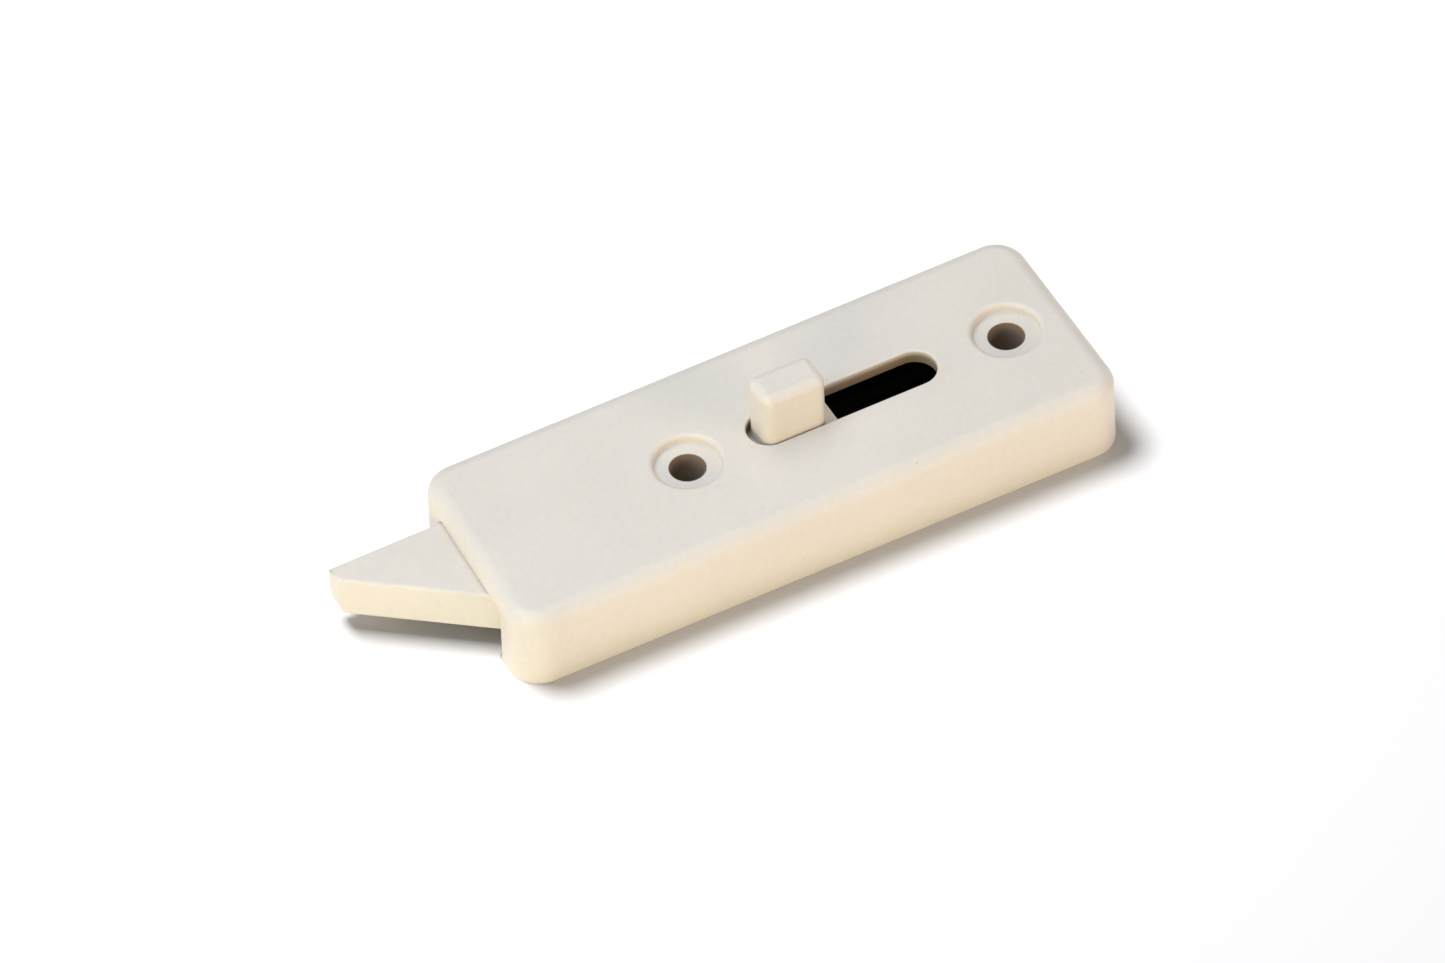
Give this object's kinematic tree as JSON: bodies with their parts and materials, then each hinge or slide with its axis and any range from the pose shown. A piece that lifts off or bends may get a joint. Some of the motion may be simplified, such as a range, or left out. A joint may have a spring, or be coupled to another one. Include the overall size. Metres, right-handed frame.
{
  "type": "surface spring latch",
  "caption": "Surface-mounted ivory plastic spring latch: rounded housing with recessed screw holes, bevelled bolt at one end and a thumb button that slides in a slot to draw the bolt back.",
  "frame": {"origin": "midway between the two mounting holes, on the mounting face", "axes": "+Z out of the mounting face towards the thumb button, the bolt throws along -X, the bevel of the bolt faces -Y"},
  "size_m": [0.1107, 0.0338, 0.0209],
  "materials": {
    "ivory_plastic": "fine matte moulded",
    "bolt_plastic": "fine matte moulded",
    "button_plastic": "fine matte moulded",
    "black_plastic": "matte",
    "screw_steel": "zinc plated",
    "spring_wire": "drawn wire"
  },
  "bodies": {
    "housing_body": {"housing": "ivory_plastic", "back_plate": "black_plastic", "plate_screws": "screw_steel", "left_spring": "spring_wire", "right_spring": "spring_wire"},
    "bolt_body": {"latch_bolt": "bolt_plastic", "thumb_button": "button_plastic", "button_screw": "screw_steel"}
  },
  "joints": [
    {"name": "bolt_slide", "type": "slide", "parent": "housing_body", "child": "bolt_body", "axis": [1, 0, 0], "range_m": [0, 0.017], "stiffness_N_per_m": 560, "springref_m": -0.0075, "deforming": ["left_spring", "right_spring"]}
  ]
}
